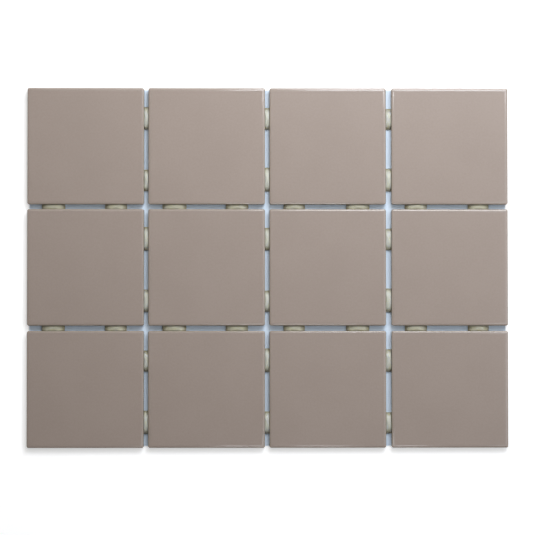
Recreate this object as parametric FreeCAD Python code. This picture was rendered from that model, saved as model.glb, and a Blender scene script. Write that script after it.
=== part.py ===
# Mosaic tile sheet: square glazed tiles with cushioned edges, held together by drops of glue in their joints.
#
# Millimetres. X runs along the rows, Y along the columns and Z out of the glazed faces.
# The origin is at the middle of the sheet, on the floor that the drops of glue rest on.
import FreeCAD, Part
import math
import os

from FreeCAD import Vector

# The open joints: between the columns from left to right, and between the rows from top to bottom
COLUMN_JOINTS = (3.6, 3.7, 4.5)
ROW_JOINTS = (3.8, 4.3)

# One tile: its work size, and the cushion that its glazed face ends in
TILE_SIDE = 96.0
TILE_THICKNESS = 6.5
CORNER_RADIUS = 1.5
CUSHION_WIDTH = 2.6
CUSHION_SLOPE_DEG = 16.0
EDGE_RADIUS = 0.9
EDGE_FLATS = 3

# The tile's pressed back: a flat rim round a field of shallow grooves with sloped walls
BACK_RIM = 12.0
GROOVES = 7
GROOVE_WIDTH = 5.4
GROOVE_DEPTH = 0.7
GROOVE_DRAFT_DEG = 35.0

# One drop of glue: a pad under the backs of two tiles, and a web with a rounded top between their walls
DROP_LENGTH = 18.5
DROP_GRIP = 3.6
DROP_BELOW = 1.2
PAD_CORNER_CUT = 2.6
PAD_EDGE_CUT = 0.8
CROWN_DIP = 2.0
CROWN_RISE = 2.2
WEB_DOME = 0.6
WEB_END_SLOPE_DEG = 62.0

# Each joint has two drops beside every tile, set a little off the tile's middle
DROP_SPACING_IN_COLUMN_JOINT = 51.0
DROP_SPACING_IN_ROW_JOINT = 52.0
COLUMN_JOINT_DROP_SHIFT = -2.0
ROW_JOINT_DROP_SHIFT = -1.2

# The drops were laid by a row of nozzles, and differ a little in length, height and place
LENGTH_SWING = 1.4
DIP_SWING = 0.3
PLACE_SWING = 0.5

GOLDEN_RATIO = (1 + math.sqrt(5)) / 2
ORIGIN = Vector(0, 0, 0)
UP = Vector(0, 0, 1)


def tile_places(joints):
    """The middles of a line of tiles with the given joints between them, about the middle of the sheet."""
    middles = [number * TILE_SIDE + sum(joints[:number]) for number in range(len(joints) + 1)]
    return [middle - middles[-1] / 2 for middle in middles]


def drop_places(tiles, spacing, shift):
    """The places of two drops beside every tile along a joint, from the middles of the tiles."""
    return [middle + shift + side * spacing / 2 for middle in tiles for side in (-1, 1)]


def uneven(number, swing):
    """A small difference between -swing and +swing that never repeats from one drop to the next."""
    return swing * (2 * (number * GOLDEN_RATIO % 1) - 1)


def tilted(angle):
    """A unit direction in the XZ plane that leans outwards from straight up by an angle in radians."""
    return Vector(math.sin(angle), 0, math.cos(angle))


def face_of(curves):
    """A flat face inside a closed run of lines and arcs."""
    return Part.Face(Part.Wire([curve.toShape() for curve in curves]))


def lines_through(points):
    """Straight lines from each point to the next."""
    return [Part.LineSegment(start, end) for start, end in zip(points, points[1:])]


def rim_points():
    """The rim's section beside a wall at X 0, from the wall's top up to the flat face.

    It gives the corners of the flats, and the middle and the end of the cushion arc that goes on from them.
    """
    slope = math.radians(CUSHION_SLOPE_DEG)
    # The cushion arc leaves the flat face at a tangent, and the round edge is tangent to it and to the wall's top
    cushion_radius = (CUSHION_WIDTH - EDGE_RADIUS * (1 - math.sin(slope))) / math.sin(slope)
    cushion_centre = Vector(-CUSHION_WIDTH, 0, TILE_THICKNESS - cushion_radius)
    edge_centre = cushion_centre + tilted(slope) * (cushion_radius - EDGE_RADIUS)

    # The round edge is tight, so a few narrow flats between points of its arc stand for it
    turn = (math.pi / 2 - slope) / EDGE_FLATS
    flats = [edge_centre + tilted(math.pi / 2 - flat * turn) * EDGE_RADIUS for flat in range(EDGE_FLATS + 1)]

    # One more flat goes on to where the tile's upright corner begins, and the arc takes over there
    start = math.asin((CUSHION_WIDTH - CORNER_RADIUS) / cushion_radius)
    flats.append(cushion_centre + tilted(start) * cushion_radius)
    cushion = [cushion_centre + tilted(angle) * cushion_radius for angle in (start / 2, 0)]
    return flats, cushion


def tile_bar():
    """A bar along Y with the section of the whole tile, from its left wall to its right wall."""
    half = TILE_SIDE / 2
    flats, cushion = rim_points()
    right = [point + Vector(half, 0, 0) for point in flats]
    arc = [point + Vector(half, 0, 0) for point in cushion]
    left = [Vector(-point.x, 0, point.z) for point in reversed(right)]
    left_arc = [Vector(-point.x, 0, point.z) for point in arc]
    section = lines_through([Vector(-half, 0, 0), Vector(half, 0, 0)] + right)
    section.append(Part.Arc(right[-1], arc[0], arc[1]))
    section.append(Part.LineSegment(arc[1], left_arc[1]))
    section.append(Part.Arc(left_arc[1], left_arc[0], left[0]))
    section += lines_through(left + [Vector(-half, 0, 0)])
    return face_of(section).extrude(Vector(0, TILE_SIDE, 0)).translated(Vector(0, -half, 0))


def tile_corner():
    """A quarter turn of the rim's flats about the axis of an upright corner, which lies on the Z axis."""
    flats, _ = rim_points()
    outer = [point + Vector(CORNER_RADIUS, 0, 0) for point in flats]
    section = lines_through([outer[-1], ORIGIN, Vector(CORNER_RADIUS, 0, 0)] + outer)
    return face_of(section).revolve(ORIGIN, UP, 90)


def frustum(low, high):
    """A solid of flat faces between two outlines with as many corners each."""
    walls = []
    for corner in range(len(low)):
        after = (corner + 1) % len(low)
        walls.append([low[corner], low[after], high[after], high[corner]])
    faces = [Part.Face(Part.makePolygon(points + points[:1])) for points in walls + [low, high]]
    return Part.Solid(Part.Shell(faces))


def rectangle(length, width, height):
    """The corners of a rectangle about the Z axis, in order."""
    x = length / 2
    y = width / 2
    return [Vector(x, y, height), Vector(-x, y, height), Vector(-x, -y, height), Vector(x, -y, height)]


def back_grooves():
    """The grooves of one tile's back as solids, to be cut out of it."""
    field = TILE_SIDE - 2 * BACK_RIM
    pitch = field / GROOVES
    lean = 2 * GROOVE_DEPTH * math.tan(math.radians(GROOVE_DRAFT_DEG))
    mouth = rectangle(field, GROOVE_WIDTH, 0)
    floor = rectangle(field - lean, GROOVE_WIDTH - lean, GROOVE_DEPTH)
    groove = frustum(mouth, floor)
    return [groove.translated(Vector(0, (number - (GROOVES - 1) / 2) * pitch, 0)) for number in range(GROOVES)]


def tile():
    """One tile, with its back at height 0 and its middle on the Z axis."""
    quarters = [90 * quarter for quarter in range(4)]
    # Two bars that cross give mitred cushions, and each sharp upright corner then makes way for a turned one
    bar = tile_bar()
    mitred = bar.common(bar.rotated(ORIGIN, UP, 90))
    inset = TILE_SIDE / 2 - CORNER_RADIUS
    sharp = Part.makeBox(CORNER_RADIUS, CORNER_RADIUS, TILE_THICKNESS, Vector(inset, inset, 0))
    turned = tile_corner().translated(Vector(inset, inset, 0))
    blank = mitred.cut([sharp.rotated(ORIGIN, UP, angle) for angle in quarters])
    blank = blank.fuse([turned.rotated(ORIGIN, UP, angle) for angle in quarters]).removeSplitter()
    return blank.cut(back_grooves()).Solids[0]


def pad(length, width):
    """The pad of one drop: flat above and below, with its upright corners and its lower edge cut back."""
    block = Part.makeBox(length, width, DROP_BELOW, Vector(-length / 2, -width / 2, 0))
    upright = [edge for edge in block.Edges if edge.BoundBox.ZLength > DROP_BELOW / 2]
    cornered = block.makeChamfer(PAD_CORNER_CUT, upright)
    lower = [edge for edge in cornered.Edges if edge.BoundBox.ZMax < DROP_BELOW / 2]
    return cornered.makeChamfer(PAD_EDGE_CUT, lower)


def web(length, joint, crown_height):
    """The web of one drop: it slopes up at its ends, and its top is rounded both along and across the joint."""
    shoulder_height = crown_height - CROWN_RISE
    end_run = (shoulder_height - DROP_BELOW) / math.tan(math.radians(WEB_END_SLOPE_DEG))
    low = Vector(length / 2, 0, DROP_BELOW)
    shoulder = Vector(length / 2 - end_run, 0, shoulder_height)
    far_low, far_shoulder = [Vector(-point.x, 0, point.z) for point in (low, shoulder)]
    side = lines_through([far_shoulder, far_low, low, shoulder])
    side.append(Part.Arc(shoulder, Vector(0, 0, crown_height), far_shoulder))
    along = face_of(side).extrude(Vector(0, 2 * joint, 0)).translated(Vector(0, -joint, 0))

    wall = joint / 2
    right_top = Vector(0, wall, crown_height - WEB_DOME)
    left_top = Vector(0, -wall, crown_height - WEB_DOME)
    end = lines_through([left_top, Vector(0, -wall, 0), Vector(0, wall, 0), right_top])
    end.append(Part.Arc(right_top, Vector(0, 0, crown_height), left_top))
    across = face_of(end).extrude(Vector(2 * length, 0, 0)).translated(Vector(-length, 0, 0))
    return along.common(across)


def drop(number, joint):
    """One drop that runs along X in a joint of the given width."""
    length = DROP_LENGTH + uneven(number, LENGTH_SWING)
    crown_height = DROP_BELOW + TILE_THICKNESS - CROWN_DIP + uneven(2 * number, DIP_SWING)
    return pad(length, joint + 2 * DROP_GRIP).fuse(web(length, joint, crown_height)).Solids[0]


def main():
    os.makedirs("parts", exist_ok=True)
    pieces = {}
    columns = tile_places(COLUMN_JOINTS)
    rows = [-place for place in tile_places(ROW_JOINTS)]

    one_tile = tile()
    for row, y in enumerate(rows):
        for column, x in enumerate(columns):
            pieces[f"tile_row{row + 1}_column{column + 1}"] = one_tile.translated(Vector(x, y, DROP_BELOW))

    number = 0
    for joint, width in enumerate(COLUMN_JOINTS):
        x = columns[joint] + (TILE_SIDE + width) / 2
        places = drop_places(rows, DROP_SPACING_IN_COLUMN_JOINT, COLUMN_JOINT_DROP_SHIFT)
        for order, y in enumerate(sorted(places, reverse=True)):
            number += 1
            place = Vector(x, y + uneven(number, PLACE_SWING), 0)
            piece = drop(number, width).rotated(ORIGIN, UP, 90)
            pieces[f"glue_column_joint{joint + 1}_drop{order + 1}"] = piece.translated(place)

    for joint, width in enumerate(ROW_JOINTS):
        y = rows[joint] - (TILE_SIDE + width) / 2
        places = drop_places(columns, DROP_SPACING_IN_ROW_JOINT, ROW_JOINT_DROP_SHIFT)
        for order, x in enumerate(sorted(places)):
            number += 1
            place = Vector(x + uneven(number, PLACE_SWING), y, 0)
            pieces[f"glue_row_joint{joint + 1}_drop{order + 1}"] = drop(number, width).translated(place)

    for name, solid in pieces.items():
        solid.exportStep(f"parts/{name}.step")
        print(f"{name}: {solid.Volume:.1f} mm3, valid {solid.isValid()}")


main()
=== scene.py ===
"""Looks of a mosaic tile sheet: satin glazed tiles with cushioned edges, held together by drops of glue.

Metres. X runs along the rows of tiles, Y along the columns and Z out of the glazed faces.
Every piece takes its place and its outer size from the solid that it stands for.
"""

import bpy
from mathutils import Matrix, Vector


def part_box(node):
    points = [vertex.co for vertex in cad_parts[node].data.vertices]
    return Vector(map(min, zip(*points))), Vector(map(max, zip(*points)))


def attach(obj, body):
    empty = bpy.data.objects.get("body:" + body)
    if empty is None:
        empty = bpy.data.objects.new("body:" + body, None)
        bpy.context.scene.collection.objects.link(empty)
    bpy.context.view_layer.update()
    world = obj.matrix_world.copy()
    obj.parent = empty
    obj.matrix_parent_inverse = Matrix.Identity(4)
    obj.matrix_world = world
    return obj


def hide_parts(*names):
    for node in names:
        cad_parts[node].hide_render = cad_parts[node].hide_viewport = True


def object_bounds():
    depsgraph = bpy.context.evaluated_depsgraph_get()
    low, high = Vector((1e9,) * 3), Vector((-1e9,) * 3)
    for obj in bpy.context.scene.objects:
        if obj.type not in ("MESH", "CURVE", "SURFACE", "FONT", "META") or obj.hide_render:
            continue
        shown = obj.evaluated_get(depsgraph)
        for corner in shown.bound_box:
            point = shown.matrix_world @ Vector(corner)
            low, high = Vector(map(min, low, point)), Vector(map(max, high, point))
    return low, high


bl_info = {
    "name": "Mosaic Tile Sheet",
    "version": (1, 0, 0),
    "blender": (4, 5, 0),
    "location": "3D View > Sidebar > Tile Sheet",
    "description": "Adds the glazed tiles, the drops of glue and the stage of a mosaic tile sheet",
    "category": "Add Mesh",
}

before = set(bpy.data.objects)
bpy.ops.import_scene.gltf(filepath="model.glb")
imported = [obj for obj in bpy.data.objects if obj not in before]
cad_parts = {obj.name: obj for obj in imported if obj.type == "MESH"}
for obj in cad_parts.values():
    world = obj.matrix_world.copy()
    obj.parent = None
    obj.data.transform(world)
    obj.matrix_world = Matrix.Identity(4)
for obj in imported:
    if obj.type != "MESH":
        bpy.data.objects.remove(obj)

import math

import bmesh
import bpy
from bpy.props import FloatProperty, FloatVectorProperty, IntProperty, PointerProperty
from mathutils import Vector

SOLID_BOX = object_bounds()

MM = 0.001
TINY = 0.01 * MM

# The solids that the pieces stand for, and the sizes that are read from them
COLUMNS = 4
ROWS = 3
TILE_NODES = sorted(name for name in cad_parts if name.startswith("tile_"))
FIRST_LOW, FIRST_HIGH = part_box("tile_row1_column1")
LAST_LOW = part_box(f"tile_row{ROWS}_column{COLUMNS}")[0]
COLUMN_PITCH = (LAST_LOW.x - FIRST_LOW.x) / (COLUMNS - 1)
ROW_PITCH = (FIRST_LOW.y - LAST_LOW.y) / (ROWS - 1)
BACK_LEVEL = FIRST_LOW.z
FACE_LEVEL = FIRST_HIGH.z


def linear(code):
    """A colour written as sRGB hex, as the linear red, green, blue and alpha that a socket takes."""
    channels = [int(code[start:start + 2], 16) / 255 for start in (1, 3, 5)]
    straight = [c / 12.92 if c <= 0.04045 else ((c + 0.055) / 1.055) ** 2.4 for c in channels]
    return (*straight, 1.0)


class TileSettings(bpy.types.PropertyGroup):
    """Sizes and colours of one glazed tile"""

    cushion_width: FloatProperty(
        name="Cushion Width",
        description="How far inside its sides the flat glazed face starts to fall away",
        default=2.6 * MM,
        unit="LENGTH",
    )
    cushion_slope: FloatProperty(
        name="Cushion Slope",
        description="Slope that the cushion reaches before the tight round edge",
        default=math.radians(16),
        subtype="ANGLE",
    )
    edge_radius: FloatProperty(
        name="Edge Radius",
        description="Radius of the tight round edge between the cushion and the wall",
        default=0.9 * MM,
        unit="LENGTH",
    )
    corner_radius: FloatProperty(
        name="Corner Radius",
        description="Radius of the tile's upright corners",
        default=1.5 * MM,
        unit="LENGTH",
    )
    level_border: FloatProperty(
        name="Level Border",
        description="Width of the level hair inside the cushion, which keeps the flat face's shading flat",
        default=0.2 * MM,
        unit="LENGTH",
    )
    arris: FloatProperty(
        name="Arris",
        description="Softening of the pressed edges round the back and its grooves",
        default=0.25 * MM,
        unit="LENGTH",
    )
    back_rim: FloatProperty(
        name="Back Rim",
        description="Width of the flat rim round the grooves of the back",
        default=12 * MM,
        unit="LENGTH",
    )
    grooves: IntProperty(name="Grooves", description="Number of grooves across the back", default=7)
    groove_width: FloatProperty(
        name="Groove Width", description="Width of one groove at its mouth", default=5.4 * MM, unit="LENGTH"
    )
    groove_depth: FloatProperty(
        name="Groove Depth", description="Depth of one groove", default=0.7 * MM, unit="LENGTH"
    )
    groove_draft: FloatProperty(
        name="Groove Draft",
        description="Lean of the grooves' walls, which lets the press die leave them",
        default=math.radians(35),
        subtype="ANGLE",
    )
    glaze_run: FloatProperty(
        name="Glaze Run",
        description="How far the glaze runs down the walls below the face",
        default=5.0 * MM,
        unit="LENGTH",
    )
    glaze_colour: FloatVectorProperty(
        name="Glaze", description="Taupe of the glaze", size=4, subtype="COLOR", default=linear("#9F8F85")
    )
    deep_glaze_colour: FloatVectorProperty(
        name="Deep Glaze",
        description="Taupe where the glaze lies a little thicker",
        size=4,
        subtype="COLOR",
        default=linear("#9B8B81"),
    )
    thin_glaze_colour: FloatVectorProperty(
        name="Thin Glaze",
        description="Paler colour where the glaze breaks thin over the round edge",
        size=4,
        subtype="COLOR",
        default=linear("#9E9283"),
    )
    # Painted shade of the narrow joints, laid as a darker brown over the glaze that ran down the walls
    wall_glaze_and_shade_colour: FloatVectorProperty(
        name="Wall Glaze",
        description="Browner colour of the glaze that ran down the walls",
        size=4,
        subtype="COLOR",
        default=linear("#7A6C61"),
    )
    body_colour: FloatVectorProperty(
        name="Fired Body",
        description="Bare fired body of the back",
        size=4,
        subtype="COLOR",
        default=linear("#AB9C8B"),
    )


class GlueSettings(bpy.types.PropertyGroup):
    """Sizes and colours of one drop of glue"""

    pad_corner: FloatProperty(
        name="Pad Corner", description="Radius of the pad's corners", default=3.4 * MM, unit="LENGTH"
    )
    pad_round: FloatProperty(
        name="Pad Round", description="Rounding of the pad's lower edge", default=0.7 * MM, unit="LENGTH"
    )
    web_corner: FloatProperty(
        name="Web Corner",
        description="Radius of the web's corners beside the tiles' walls",
        default=1.0 * MM,
        unit="LENGTH",
    )
    web_crown: FloatProperty(
        name="Web Crown",
        description="How far the web's middle stands above its sides",
        default=0.9 * MM,
        unit="LENGTH",
    )
    wetting: FloatProperty(
        name="Wetting",
        description="How far the web presses past the faces of the tiles' walls",
        default=0.06 * MM,
        unit="LENGTH",
    )
    waver: FloatProperty(
        name="Waver", description="Unevenness of the set surface", default=0.4 * MM, unit="LENGTH"
    )
    colour: FloatVectorProperty(
        name="Glue", description="Cream of the glue", size=4, subtype="COLOR", default=linear("#C1C1B6")
    )
    # Painted shade: the colour low in the joint, darker and greener than the crown, over the tint of thicker
    # glue
    deep_and_shaded_colour: FloatVectorProperty(
        name="Deep Glue",
        description="Greener cream low in the glue, where light has come through more of it",
        size=4,
        subtype="COLOR",
        default=linear("#A9A48C"),
    )
    # The drops between the rows pale less towards their crowns: painted shade of the tiles above them
    row_shaded_paleness: FloatProperty(
        name="Row Paleness",
        description="How far the yellower drops between the rows pale towards their crowns",
        default=0.2,
        subtype="FACTOR",
    )


class StageSettings(bpy.types.PropertyGroup):
    """The floor, the lamps and the camera"""

    camera_distance: FloatProperty(
        name="Camera Distance", description="From the lens to the glazed faces", default=1.3, unit="LENGTH"
    )
    camera_tilt: FloatProperty(
        name="Camera Tilt",
        description="Lean of the line of sight off straight down, towards the foot of the picture",
        default=math.radians(1.1),
        subtype="ANGLE",
    )
    camera_swing: FloatProperty(
        name="Camera Swing",
        description="Lean of the line of sight off straight down, towards the left of the picture",
        default=math.radians(0.6),
        subtype="ANGLE",
    )
    seen_width: FloatProperty(
        name="Seen Width",
        description="Width of the picture at the level of the glazed faces",
        default=440.0 * MM,
        unit="LENGTH",
    )
    window_power: FloatProperty(
        name="Window Power", description="Power of the window at the upper right", default=9.3, unit="POWER"
    )
    side_power: FloatProperty(
        name="Side Window Power", description="Power of the window at the right", default=2.4, unit="POWER"
    )
    wall_power: FloatProperty(
        name="Wall Power", description="Power of the lit wall at the upper left", default=1.0, unit="POWER"
    )
    ceiling_power: FloatProperty(
        name="Ceiling Power", description="Power of the soft light over the sheet", default=0.7, unit="POWER"
    )
    near_power: FloatProperty(
        name="Near Power",
        description="Power of the low light at the head of the picture",
        default=0.65,
        unit="POWER",
    )
    lamp_power: FloatProperty(
        name="Lamp Power",
        description="Power of the small lamp at the foot of the picture",
        default=0.7,
        unit="POWER",
    )
    daylight: FloatVectorProperty(
        name="Daylight",
        description="Cool light of the windows and the lamps",
        size=4,
        subtype="COLOR",
        default=linear("#F4F9FF"),
    )
    room_light: FloatVectorProperty(
        name="Room Light",
        description="Warmer light off the walls and the ceiling",
        size=4,
        subtype="COLOR",
        default=linear("#FFFDF8"),
    )
    fill_strength: FloatProperty(
        name="Fill Strength", description="Mean strength of the light from all round", default=0.15
    )
    floor_colour: FloatVectorProperty(
        name="Floor", description="Matt white board", size=4, subtype="COLOR", default=linear("#F2F1F1")
    )
    floor_glow: FloatProperty(
        name="Floor Glow",
        description="Glow of the board round the sheet, as the camera sees it",
        default=0.44,
    )
    paper_colour: FloatVectorProperty(
        name="Paper",
        description="Bluish paper under the sheet",
        size=4,
        subtype="COLOR",
        default=linear("#DDECFD"),
    )


class TileSheetSettings(bpy.types.PropertyGroup):
    """All sizes and colours of the tile sheet"""

    tile: PointerProperty(type=TileSettings)
    glue: PointerProperty(type=GlueSettings)
    stage: PointerProperty(type=StageSettings)


def add_node(tree, kind, inputs=None, output=None, **options):
    """Adds a node, sets its options, links or fills its inputs, and gives back one of its outputs.

    Inputs and the output are named by their identifiers; with no output named, it is the first in use.
    """
    node = tree.nodes.new(kind)
    for name, value in options.items():
        setattr(node, name, value)
    sockets = {socket.identifier: socket for socket in node.inputs}
    for name, value in (inputs or {}).items():
        if isinstance(value, bpy.types.NodeSocket):
            tree.links.new(value, sockets[name])
        else:
            sockets[name].default_value = value
    for socket in node.outputs:
        if socket.enabled and output in (None, socket.identifier):
            return socket
    return None


def new_material(name):
    """A material of that name with an empty node tree."""
    material = bpy.data.materials.new(name)
    material.use_nodes = True
    material.node_tree.nodes.clear()
    return material


def satin_glaze_on_fired_clay(settings):
    """Satin glazed earthenware: dust-pressed clay, spray glazed and fired once.

    The glaze is a matt taupe full of fine crystals, so it has a wide soft sheen with a tighter one over it,
    an orange-peel skin, faint clouds of tone and paler edges where it runs thin. It ends in an uneven line
    on the walls, below which the bare body is dry, pale and slightly sandy.
    """
    material = new_material("Satin glaze on fired clay")
    tree = material.node_tree
    place = add_node(tree, "ShaderNodeTexCoord", output="Object")
    facing = add_node(tree, "ShaderNodeTexCoord", output="Normal")

    # Clouds of glaze thickness about 35 mm across, and a finer fleck of 1.5 mm
    cloud = add_node(tree, "ShaderNodeTexNoise", {"Vector": place, "Scale": 1 / (35 * MM), "Detail": 3.0})
    fleck = add_node(tree, "ShaderNodeTexNoise", {"Vector": place, "Scale": 1 / (1.5 * MM), "Detail": 2.0})
    depth = add_node(
        tree,
        "ShaderNodeMath",
        {"Value": cloud, "Value_001": 0.75, "Value_002": fleck},
        operation="MULTIPLY_ADD",
    )
    depth = add_node(
        tree,
        "ShaderNodeMapRange",
        {"Value": depth, "From Min": 0.6, "From Max": 1.15},
        interpolation_type="SMOOTHSTEP",
    )
    glaze = add_node(
        tree,
        "ShaderNodeMix",
        {"Factor_Float": depth, "A_Color": settings.glaze_colour, "B_Color": settings.deep_glaze_colour},
        data_type="RGBA",
    )

    # Each tile came through the kiln a shade lighter or darker than the next. The four columns meet at whole
    # pitches from the middle of the sheet, and the three rows at half ones
    pitch = (COLUMN_PITCH, ROW_PITCH, 1.0)
    offset = (0.0, 0.5, 0.5)
    cell = add_node(tree, "ShaderNodeVectorMath", {"Vector": place, "Vector_001": pitch}, operation="DIVIDE")
    cell = add_node(tree, "ShaderNodeVectorMath", {"Vector": cell, "Vector_001": offset}, operation="ADD")
    cell = add_node(tree, "ShaderNodeVectorMath", {"Vector": cell}, operation="FLOOR")
    draw = add_node(tree, "ShaderNodeTexWhiteNoise", {"Vector": cell}, noise_dimensions="3D")
    shade = add_node(tree, "ShaderNodeMapRange", {"Value": draw, "To Min": 0.985, "To Max": 1.015})
    glaze = add_node(tree, "ShaderNodeHueSaturation", {"Value": shade, "Color": glaze})

    # The glaze breaks thin over the round edge, and the walls take a darker brown: painted shade of the
    # narrow joints over the glaze that ran down them. Each colour comes in between two leans of the surface,
    # which are given as the Z of its normal
    level = add_node(tree, "ShaderNodeSeparateXYZ", {"Vector": facing}, output="Z")
    for colour, start, end in (
        (settings.thin_glaze_colour, 0.985, 0.9),
        (settings.wall_glaze_and_shade_colour, 0.55, 0.15),
    ):
        leaning = add_node(
            tree,
            "ShaderNodeMapRange",
            {"Value": level, "From Min": start, "From Max": end, "To Max": 0.85},
            interpolation_type="SMOOTHSTEP",
        )
        glaze = add_node(
            tree,
            "ShaderNodeMix",
            {"Factor_Float": leaning, "A_Color": glaze, "B_Color": colour},
            data_type="RGBA",
        )

    # The lower edge of the glaze wavers by about a millimetre along the walls
    waver = 2.4 * MM
    blur = 0.08 * MM
    glaze_line = FACE_LEVEL - settings.glaze_run + waver / 2
    height = add_node(tree, "ShaderNodeSeparateXYZ", {"Vector": place}, output="Z")
    run = add_node(tree, "ShaderNodeTexNoise", {"Vector": place, "Scale": 1 / (6 * MM), "Detail": 4.0})
    line = add_node(
        tree,
        "ShaderNodeMath",
        {"Value": run, "Value_001": waver, "Value_002": height},
        operation="MULTIPLY_ADD",
    )
    glazed = add_node(
        tree,
        "ShaderNodeMapRange",
        {"Value": line, "From Min": glaze_line - blur, "From Max": glaze_line + blur},
        interpolation_type="SMOOTHSTEP",
    )

    # Bare body: a sandy grain of about 0.4 mm, with painted shade in its hollows
    grain = add_node(tree, "ShaderNodeTexNoise", {"Vector": place, "Scale": 1 / (0.4 * MM), "Detail": 3.0})
    hollow_shade = add_node(
        tree, "ShaderNodeMapRange", {"Value": grain, "From Min": 0.3, "From Max": 0.7, "To Min": 0.88}
    )
    body = add_node(tree, "ShaderNodeHueSaturation", {"Value": hollow_shade, "Color": settings.body_colour})

    colour = add_node(
        tree, "ShaderNodeMix", {"Factor_Float": glazed, "A_Color": body, "B_Color": glaze}, data_type="RGBA"
    )
    sheen = add_node(tree, "ShaderNodeMapRange", {"Value": fleck, "To Min": 0.52, "To Max": 0.6})
    roughness = add_node(
        tree, "ShaderNodeMix", {"Factor_Float": glazed, "A_Float": 0.9, "B_Float": sheen}, data_type="FLOAT"
    )
    coat = add_node(tree, "ShaderNodeMath", {"Value": glazed, "Value_001": 0.95}, operation="MULTIPLY")

    # Orange peel of about 2.5 mm in the glaze, and the grain of the bare body
    peel = add_node(tree, "ShaderNodeTexNoise", {"Vector": place, "Scale": 1 / (2.5 * MM), "Detail": 1.0})
    peel = add_node(tree, "ShaderNodeMath", {"Value": peel, "Value_001": 0.12}, operation="MULTIPLY")
    relief = add_node(
        tree, "ShaderNodeMix", {"Factor_Float": glazed, "A_Float": grain, "B_Float": peel}, data_type="FLOAT"
    )
    bump = add_node(tree, "ShaderNodeBump", {"Strength": 1.0, "Distance": 0.08 * MM, "Height": relief})

    surface = add_node(
        tree,
        "ShaderNodeBsdfPrincipled",
        {
            "Base Color": colour,
            "Roughness": roughness,
            "IOR": 1.5,
            "Coat Weight": coat,
            "Coat Roughness": 0.13,
            "Coat IOR": 1.58,
            "Normal": bump,
        },
    )
    add_node(tree, "ShaderNodeOutputMaterial", {"Surface": surface})
    return material


def set_glue(settings, name, painted_crown_light):
    """Cured PVC dot glue: laid warm as a paste from a nozzle and set to a firm, waxy, translucent cream.

    Light goes a few millimetres into it. Its colour also carries painted light and shade: paler on its
    crown, and darker and greener low in the joint, which is painted shade over the tint of the thicker glue.
    The painted crown light is how far it pales towards its crown, from 0 to 1.
    """
    material = new_material(name)
    tree = material.node_tree
    place = add_node(tree, "ShaderNodeTexCoord", output="Object")

    # Painted shade low in the joint gives way to painted light on its crown, at levels that waver by about
    # half a millimetre
    waver = 1.2 * MM
    low_level = BACK_LEVEL + 2.0 * MM
    crown_level = FACE_LEVEL - 1.9 * MM
    height = add_node(tree, "ShaderNodeSeparateXYZ", {"Vector": place}, output="Z")
    cloud = add_node(tree, "ShaderNodeTexNoise", {"Vector": place, "Scale": 1 / (5 * MM), "Detail": 2.0})
    rise = add_node(
        tree,
        "ShaderNodeMath",
        {"Value": cloud, "Value_001": waver, "Value_002": height},
        operation="MULTIPLY_ADD",
    )
    pale = add_node(
        tree,
        "ShaderNodeMapRange",
        {"Value": rise, "From Min": low_level, "From Max": crown_level, "To Max": painted_crown_light},
        interpolation_type="SMOOTHSTEP",
    )
    colour = add_node(
        tree,
        "ShaderNodeMix",
        {"Factor_Float": pale, "A_Color": settings.deep_and_shaded_colour, "B_Color": settings.colour},
        data_type="RGBA",
    )

    # A waxy skin with dimples about 0.8 mm across
    skin = add_node(tree, "ShaderNodeTexNoise", {"Vector": place, "Scale": 1 / (0.8 * MM), "Detail": 2.0})
    bump = add_node(tree, "ShaderNodeBump", {"Strength": 1.0, "Distance": 0.03 * MM, "Height": skin})
    gloss = add_node(tree, "ShaderNodeMapRange", {"Value": skin, "To Min": 0.34, "To Max": 0.46})
    surface = add_node(
        tree,
        "ShaderNodeBsdfPrincipled",
        {
            "Base Color": colour,
            "Roughness": gloss,
            "IOR": 1.52,
            "Subsurface Weight": 0.45,
            "Subsurface Radius": (1.0, 0.9, 0.5),
            "Subsurface Scale": 1.5 * MM,
            "Normal": bump,
        },
    )
    add_node(tree, "ShaderNodeOutputMaterial", {"Surface": surface})
    return material


def start_box(name, low, high):
    """Adds a box between two corners as the only selected object, with its place in its mesh."""
    bpy.ops.object.select_all(action="DESELECT")
    bpy.ops.mesh.primitive_cube_add(size=1, location=(low + high) / 2, scale=high - low)
    bpy.ops.object.transform_apply(location=True, rotation=True, scale=True)
    piece = bpy.context.object
    piece.name = name
    return piece


def select(piece, kind, wanted):
    """Selects, in edit mode, only the edges or faces of a piece that pass a test."""
    bpy.ops.mesh.select_mode(type=kind)
    bpy.ops.mesh.select_all(action="DESELECT")
    mesh = bmesh.from_edit_mesh(piece.data)
    for element in mesh.edges if kind == "EDGE" else mesh.faces:
        if wanted(element):
            element.select_set(True)
    bmesh.update_edit_mesh(piece.data)


def upright(edge):
    """True for an edge that runs straight up."""
    run = edge.verts[1].co - edge.verts[0].co
    return abs(run.z) > TINY and run.xy.length < TINY


def middle_of(edge):
    """The point halfway along an edge."""
    return (edge.verts[0].co + edge.verts[1].co) / 2


def looks_up(face):
    """True for a face that looks straight up, or nearly so."""
    return face.normal.z > 0.9


def looks_down(face):
    """True for a face that looks straight down, or nearly so."""
    return face.normal.z < -0.9


def finish_smooth(piece, angle):
    """Leaves edit mode and smooths every edge that turns by less than an angle."""
    bpy.ops.object.mode_set(mode="OBJECT")
    bpy.ops.object.shade_smooth_by_angle(angle=angle)


def apply_modifier(piece, kind, **options):
    """Adds a modifier to the active object, sets it and applies it."""
    modifier = piece.modifiers.new(kind.title(), kind)
    for name, value in options.items():
        setattr(modifier, name, value)
    bpy.ops.object.modifier_apply(modifier=modifier.name)


def take_place(piece, node, material):
    """Lets a finished piece stand for its solid, ride on the sheet and take its finish."""
    piece.data.materials.clear()
    piece.data.materials.append(material)
    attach(piece, "root")
    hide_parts(node)


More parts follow.
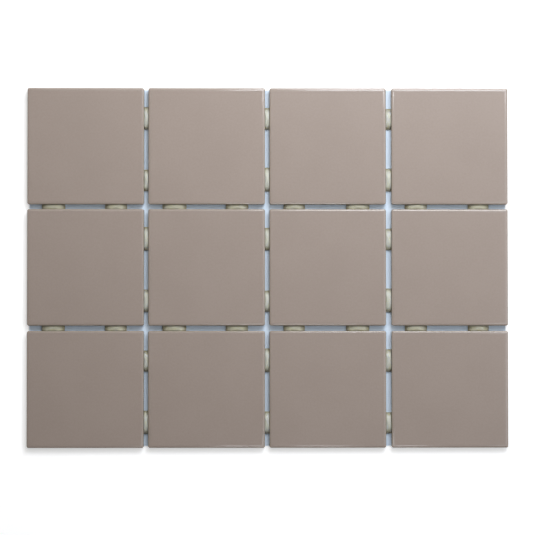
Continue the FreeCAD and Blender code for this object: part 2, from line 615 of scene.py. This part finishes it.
def copy_of(piece, name, move):
    """A copy of a piece with a mesh of its own, moved by a vector."""
    bpy.ops.object.select_all(action="DESELECT")
    piece.select_set(True)
    bpy.context.view_layer.objects.active = piece
    bpy.ops.object.duplicate(linked=False)
    bpy.ops.transform.translate(value=move)
    bpy.ops.object.transform_apply(location=True, rotation=True, scale=True)
    copy = bpy.context.object
    copy.name = name
    return copy


def rim_steps(settings):
    """The rim's section from the wall's top to the flat face: steps of how far in and how far up it goes."""
    edge_steps = 8
    cushion_steps = 3
    slope = settings.cushion_slope
    edge = settings.edge_radius
    cushion = (settings.cushion_width - edge * (1 - math.sin(slope))) / math.sin(slope)
    section = []
    for step in range(edge_steps):
        turn = math.pi / 2 - (math.pi / 2 - slope) * step / edge_steps
        rise = cushion * (math.cos(slope) - 1) + edge * (math.cos(turn) - math.cos(slope))
        section.append((edge * (1 - math.sin(turn)), rise))

    # One step falls where the upright corner ends, so that the cushion is mitred from there
    corner_slope = math.asin((settings.cushion_width - settings.corner_radius) / cushion)
    for start, stop in ((slope, corner_slope), (corner_slope, 0)):
        for step in range(cushion_steps):
            turn = start + (stop - start) * step / cushion_steps
            inward = settings.cushion_width - cushion * math.sin(turn)
            section.append((inward, cushion * (math.cos(turn) - 1)))
    section.append((settings.cushion_width, 0))
    return section


def model_tile(settings, low, high):
    """Models one tile between its corners: a block that is stepped in over the rim, with a grooved back."""
    section = rim_steps(settings)
    wall_top = high.z + section[0][1]
    piece = start_box("one_tile", low, Vector((high.x, high.y, wall_top)))
    bpy.ops.object.mode_set(mode="EDIT")
    select(piece, "EDGE", upright)
    bpy.ops.mesh.bevel(offset=settings.corner_radius, segments=6, affect="EDGES")

    def is_level_square(face):
        return face.normal.z > 0.9999 and len(face.verts) == 4

    # The round edge and the cushion go in step by step, and each round corner closes to a point on the way
    closed_corner = 0.25 * MM
    select(piece, "FACE", looks_up)
    for (inward, rise), (next_inward, next_rise) in zip(section, section[1:]):
        bpy.ops.mesh.inset(thickness=next_inward - inward, depth=next_rise - rise, use_even_offset=True)
        if abs(next_inward - settings.corner_radius) < TINY:
            bpy.ops.mesh.remove_doubles(threshold=closed_corner)
            select(piece, "FACE", is_level_square)
    bpy.ops.mesh.inset(thickness=settings.level_border, depth=0, use_even_offset=True)

    # The back is cut along the edges of its grooves, and each groove is pressed in with sloped walls
    rim = settings.back_rim
    field = high.y - low.y - 2 * rim
    centres = [low.y + rim + field * (number + 0.5) / settings.grooves for number in range(settings.grooves)]

    def in_field(face):
        return looks_down(face) and low.x + rim < face.calc_center_median().x < high.x - rim

    def in_groove(face):
        return in_field(face) and any(abs(face.calc_center_median().y - centre) < TINY for centre in centres)

    for x in (low.x + rim, high.x - rim):
        select(piece, "FACE", looks_down)
        bpy.ops.mesh.bisect(plane_co=(x, 0, 0), plane_no=(1, 0, 0), threshold=TINY)
    for centre in centres:
        for side in (-1, 1):
            select(piece, "FACE", in_field)
            y = centre + side * settings.groove_width / 2
            bpy.ops.mesh.bisect(plane_co=(0, y, 0), plane_no=(0, 1, 0), threshold=TINY)
    select(piece, "FACE", in_groove)
    lean = settings.groove_depth * math.tan(settings.groove_draft)
    bpy.ops.mesh.inset(use_individual=True, thickness=lean, depth=-settings.groove_depth)

    bpy.ops.object.mode_set(mode="OBJECT")
    apply_modifier(
        piece, "BEVEL", width=settings.arris, segments=2, limit_method="ANGLE", angle_limit=math.radians(30)
    )
    finish_smooth(piece, math.radians(35))
    return piece


class TILESHEET_OT_add_tiles(bpy.types.Operator):
    """Add the glazed tiles"""

    bl_idname = "tile_sheet.add_tiles"
    bl_label = "Add Glazed Tiles"

    def execute(self, context):
        settings = context.scene.tile_sheet.tile
        material = satin_glaze_on_fired_clay(settings)
        model = model_tile(settings, FIRST_LOW, FIRST_HIGH)
        for node in TILE_NODES:
            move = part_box(node)[0] - FIRST_LOW
            tile = copy_of(model, f"glazed_{node}", move)
            take_place(tile, node, material)
        bpy.data.objects.remove(model)
        return {"FINISHED"}


def model_drop(settings, joint, length, pad_width, top):
    """Models one drop along X about the origin: a pad under the backs and a domed web between the walls."""
    half_length = length / 2
    half_width = joint / 2 + settings.wetting
    pad_low = Vector((-half_length, -pad_width / 2, 0))
    pad_high = Vector((half_length, pad_width / 2, BACK_LEVEL))
    piece = start_box("one_drop", pad_low, pad_high)
    bpy.ops.object.mode_set(mode="EDIT")
    select(piece, "EDGE", upright)
    bpy.ops.mesh.bevel(offset=settings.pad_corner, segments=4, affect="EDGES")
    select(piece, "EDGE", lambda edge: middle_of(edge).z < TINY)
    bpy.ops.mesh.bevel(offset=settings.pad_round, segments=2, affect="EDGES")

    # The web starts as a strip of the pad's top, which is raised a little and gets round corners
    foot = half_length - 0.5 * settings.pad_round
    cuts = [((foot, 0, 0), (1, 0, 0)), ((-foot, 0, 0), (1, 0, 0))]
    cuts += [((0, half_width, 0), (0, 1, 0)), ((0, -half_width, 0), (0, 1, 0))]
    for point, across in cuts:
        select(piece, "FACE", looks_up)
        bpy.ops.mesh.bisect(plane_co=point, plane_no=across, threshold=TINY)

    def is_foot(face):
        middle = face.calc_center_median()
        return looks_up(face) and abs(middle.x) < TINY and abs(middle.y) < TINY

    # The web's levels are even turns of an ellipse, which stop just short of its flat top
    select(piece, "FACE", is_foot)
    rise = top - BACK_LEVEL
    levels = 9
    last_turn = 0.97 * math.pi / 2
    turns = [last_turn * (number + 1) / levels for number in range(levels)]
    first_rise = rise * math.sin(turns[0])
    bpy.ops.mesh.extrude_region_move(TRANSFORM_OT_translate={"value": (0, 0, first_rise)})
    select(piece, "EDGE", lambda edge: upright(edge) and middle_of(edge).z > BACK_LEVEL + TINY)
    bpy.ops.mesh.bevel(offset=settings.web_corner, segments=3, affect="EDGES")

    # Level by level the web grows shorter along an ellipse, and near its top narrower along another
    select(piece, "FACE", lambda face: looks_up(face) and face.calc_center_median().z > BACK_LEVEL + TINY)
    shoulder = rise - settings.web_crown
    long_now = 1.0
    wide_now = 1.0
    for turn, next_turn in zip(turns, turns[1:]):
        height = rise * math.sin(next_turn)
        long_next = math.cos(next_turn) / math.cos(turns[0])
        above = max(0, height - shoulder) / settings.web_crown
        wide_next = math.sqrt(max(0, 1 - above ** 2))
        lift = height - rise * math.sin(turn)
        bpy.ops.mesh.extrude_region_move(TRANSFORM_OT_translate={"value": (0, 0, lift)})
        shrink = (long_next / long_now, wide_next / wide_now, 1)
        bpy.ops.transform.resize(value=shrink, center_override=(0, 0, 0))
        long_now = long_next
        wide_now = wide_next
    bpy.ops.object.mode_set(mode="OBJECT")
    return piece


def joints():
    """Every joint: the start of its drops' names, the axis it runs along, its turn from X and its width."""
    found = []
    for number in range(1, COLUMNS):
        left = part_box(f"tile_row1_column{number}")[1].x
        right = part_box(f"tile_row1_column{number + 1}")[0].x
        found.append((f"glue_column_joint{number}_", 1, math.pi / 2, right - left))
    for number in range(1, ROWS):
        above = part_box(f"tile_row{number}_column1")[0].y
        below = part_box(f"tile_row{number + 1}_column1")[1].y
        found.append((f"glue_row_joint{number}_", 0, 0, above - below))
    return found


def fit_to(piece, low, high):
    """Stretches and moves a piece so that it just fills the box between two corners."""
    points = [vertex.co for vertex in piece.data.vertices]
    least = Vector([min(point[axis] for point in points) for axis in range(3)])
    most = Vector([max(point[axis] for point in points) for axis in range(3)])
    stretch = Vector([(high[axis] - low[axis]) / (most[axis] - least[axis]) for axis in range(3)])
    bpy.ops.transform.resize(value=stretch, center_override=(0, 0, 0))
    bpy.ops.transform.translate(value=low - least * stretch)
    bpy.ops.object.transform_apply(location=True, rotation=True, scale=True)


class TILESHEET_OT_add_glue(bpy.types.Operator):
    """Add the drops of glue in the joints"""

    bl_idname = "tile_sheet.add_glue"
    bl_label = "Add Drops of Glue"

    def execute(self, context):
        settings = context.scene.tile_sheet.glue

        # The joints between rows run along axis 0, X, and those between columns along axis 1, Y
        # The drops between the rows get a copy of the glue with more painted shade than those between the
        # columns
        materials = (
            set_glue(settings, "Shaded dot glue between rows", settings.row_shaded_paleness),
            set_glue(settings, "Lit dot glue between columns", 1.0),
        )
        lumps = bpy.data.textures.new("lumps", "CLOUDS")
        lumps.noise_scale = 7 * MM
        lumps.noise_depth = 1
        for start, along, turn, width in joints():
            nodes = sorted(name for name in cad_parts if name.startswith(start))
            low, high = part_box(nodes[0])
            size = high - low
            model = model_drop(settings, width, size[along], size[1 - along], high.z)
            bpy.ops.transform.rotate(value=turn, orient_axis="Z", center_override=(0, 0, 0))
            bpy.ops.object.transform_apply(location=True, rotation=True, scale=True)
            apply_modifier(model, "SUBSURF", levels=2, render_levels=2)
            for node in nodes:
                low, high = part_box(node)
                middle = (low + high) / 2
                drop = copy_of(model, f"cured_{node}", Vector((middle.x, middle.y, 0)))
                apply_modifier(
                    drop,
                    "DISPLACE",
                    texture=lumps,
                    texture_coords="GLOBAL",
                    strength=settings.waver,
                    mid_level=0.5,
                )
                fit_to(drop, low, high)
                finish_smooth(drop, math.radians(60))
                take_place(drop, node, materials[along])
            bpy.data.objects.remove(model)
        return {"FINISHED"}


def add_lamp(name, low, high, height, power, colour, mirrored=True):
    """Adds a soft lamp between two corners in plan, which shines straight down.

    One that isn't mirrored stays out of the reflections in the glaze and the glue.
    """
    bpy.ops.object.light_add(type="AREA", location=((low[0] + high[0]) / 2, (low[1] + high[1]) / 2, height))
    lamp = bpy.context.object
    lamp.name = name
    lamp.data.shape = "RECTANGLE"
    lamp.data.size = high[0] - low[0]
    lamp.data.size_y = high[1] - low[1]
    lamp.data.energy = power
    lamp.data.color = colour[:3]
    lamp.visible_glossy = mirrored


def white_board(settings):
    """Opal display board, faintly lit from below, with bluish paper under the sheet.

    The camera and reflections see its glow round the sheet, which whitens it and lightens the shadow.
    """
    material = new_material("Opal white board")
    tree = material.node_tree
    seen = add_node(tree, "ShaderNodeLightPath", output="Is Camera Ray")
    for name in ("Is Glossy Ray", "Is Transmission Ray"):
        ray = add_node(tree, "ShaderNodeLightPath", output=name)
        seen = add_node(tree, "ShaderNodeMath", {"Value": seen, "Value_001": ray}, operation="MAXIMUM")

    # The paper ends a little inside the sheet's outline
    place = add_node(tree, "ShaderNodeTexCoord", output="Object")
    away = add_node(tree, "ShaderNodeVectorMath", {"Vector": place}, operation="ABSOLUTE")
    corner = (*SOLID_BOX[1].xy, 0.0)
    away = add_node(
        tree, "ShaderNodeVectorMath", {"Vector": away, "Vector_001": corner}, operation="SUBTRACT"
    )
    away_x = add_node(tree, "ShaderNodeSeparateXYZ", {"Vector": away}, output="X")
    away_y = add_node(tree, "ShaderNodeSeparateXYZ", {"Vector": away}, output="Y")
    away = add_node(tree, "ShaderNodeMath", {"Value": away_x, "Value_001": away_y}, operation="MAXIMUM")
    paper = add_node(
        tree,
        "ShaderNodeMapRange",
        {"Value": away, "From Min": -1.6 * MM, "From Max": -0.1 * MM, "To Min": 1.0, "To Max": 0.0},
        interpolation_type="SMOOTHSTEP",
    )
    paper_seen = add_node(tree, "ShaderNodeMath", {"Value": paper, "Value_001": seen}, operation="MULTIPLY")
    colour = add_node(
        tree,
        "ShaderNodeMix",
        {"Factor_Float": paper_seen, "A_Color": settings.floor_colour, "B_Color": settings.paper_colour},
        data_type="RGBA",
    )
    board_seen = add_node(
        tree, "ShaderNodeMath", {"Value": seen, "Value_001": paper_seen}, operation="SUBTRACT"
    )
    glow = add_node(
        tree, "ShaderNodeMath", {"Value": board_seen, "Value_001": settings.floor_glow}, operation="MULTIPLY"
    )
    matt = add_node(tree, "ShaderNodeBsdfDiffuse", {"Color": colour})
    lit = add_node(tree, "ShaderNodeEmission", {"Color": linear("#FFFFFF"), "Strength": glow})
    surface = add_node(tree, "ShaderNodeAddShader", {"Shader": matt, "Shader_001": lit})
    add_node(tree, "ShaderNodeOutputMaterial", {"Surface": surface})
    return material


def light_from_all_round(settings):
    """A world that lights softly, most from the head of the picture, and is white to the camera."""
    world = bpy.data.worlds.new("Soft room")
    world.use_nodes = True
    tree = world.node_tree
    tree.nodes.clear()
    way = add_node(tree, "ShaderNodeTexCoord", output="Generated")
    to_top = add_node(tree, "ShaderNodeSeparateXYZ", {"Vector": way}, output="Y")
    strength = add_node(
        tree,
        "ShaderNodeMapRange",
        {"Value": to_top, "From Min": -1.0, "From Max": 1.0, "To Max": 2 * settings.fill_strength},
    )
    seen = add_node(tree, "ShaderNodeLightPath", output="Is Camera Ray")
    fill = add_node(tree, "ShaderNodeBackground", {"Color": settings.room_light, "Strength": strength})
    white = add_node(tree, "ShaderNodeBackground", {"Color": linear("#FFFFFF"), "Strength": 1.0})
    both = add_node(tree, "ShaderNodeMixShader", {"Fac": seen, "Shader": fill, "Shader_001": white})
    add_node(tree, "ShaderNodeOutputWorld", {"Surface": both})
    return world


class TILESHEET_OT_set_stage(bpy.types.Operator):
    """Add the floor, the lamps and the camera"""

    bl_idname = "tile_sheet.set_stage"
    bl_label = "Set the Stage"

    def execute(self, context):
        settings = context.scene.tile_sheet.stage
        floor_size = 6.0
        bpy.ops.object.select_all(action="DESELECT")
        bpy.ops.mesh.primitive_plane_add(size=floor_size, location=(0, 0, 0))
        floor = bpy.context.object
        floor.name = "floor"
        floor.data.materials.append(white_board(settings))

        # The window's inner edge lights the upper cushions, the side window the right-hand ones and the
        # small lamp a few of the lower ones. The soft light over the sheet and the low light at its head,
        # which shines down two of the column joints, stay out of the glaze.
        high = 0.975
        soft_height = 0.45
        near_height = 0.40
        day = settings.daylight
        room = settings.room_light
        add_lamp("window", (0.02, 0.35), (0.62, 0.95), high, settings.window_power, day)
        add_lamp("side_window", (0.40, -0.42), (0.95, 0.33), high, settings.side_power, day)
        add_lamp("lit_wall", (-0.45, 0.40), (0.02, 1.00), high, settings.wall_power, room)
        add_lamp("small_lamp", (-0.04, -0.50), (0.17, -0.36), high, settings.lamp_power, day)
        add_lamp("ceiling", (-0.25, -0.05), (0.25, 0.45), soft_height, settings.ceiling_power, room, False)
        add_lamp("near_light", (0.03, 0.30), (0.11, 0.55), near_height, settings.near_power, day, False)

        # The camera looks at a point on the faces that is a fraction of a millimetre off the sheet's middle
        bpy.ops.object.camera_add()
        camera = bpy.context.object
        distance = settings.camera_distance
        aim = Vector((-0.25 * MM, 0.1 * MM, FACE_LEVEL))
        camera.rotation_euler = (settings.camera_tilt, -settings.camera_swing, 0)
        camera.location = aim + camera.rotation_euler.to_matrix() @ Vector((0, 0, distance))
        camera.data.angle = 2 * math.atan(settings.seen_width / 2 / distance)
        context.scene.camera = camera
        context.scene.world = light_from_all_round(settings)
        context.scene.view_settings.view_transform = "Standard"
        return {"FINISHED"}


class TILESHEET_PT_panel(bpy.types.Panel):
    """Lists the pieces of the tile sheet with their sizes and colours"""

    bl_idname = "TILESHEET_PT_panel"
    bl_label = "Tile Sheet"
    bl_space_type = "VIEW_3D"
    bl_region_type = "UI"
    bl_category = "Tile Sheet"

    def draw(self, context):
        sheet = context.scene.tile_sheet
        for operator, settings in (
            ("tile_sheet.add_tiles", sheet.tile),
            ("tile_sheet.add_glue", sheet.glue),
            ("tile_sheet.set_stage", sheet.stage),
        ):
            box = self.layout.box()
            box.operator(operator)
            for name in settings.__annotations__:
                box.prop(settings, name)


CLASSES = (
    TileSettings,
    GlueSettings,
    StageSettings,
    TileSheetSettings,
    TILESHEET_OT_add_tiles,
    TILESHEET_OT_add_glue,
    TILESHEET_OT_set_stage,
    TILESHEET_PT_panel,
)


def register():
    for listed in CLASSES:
        bpy.utils.register_class(listed)
    bpy.types.Scene.tile_sheet = PointerProperty(type=TileSheetSettings)


def unregister():
    del bpy.types.Scene.tile_sheet
    for listed in reversed(CLASSES):
        bpy.utils.unregister_class(listed)


def main():
    """Makes the whole sheet on its stage."""
    register()
    bpy.ops.tile_sheet.add_tiles()
    bpy.ops.tile_sheet.add_glue()
    bpy.ops.tile_sheet.set_stage()


if __name__ == "__main__":
    main()
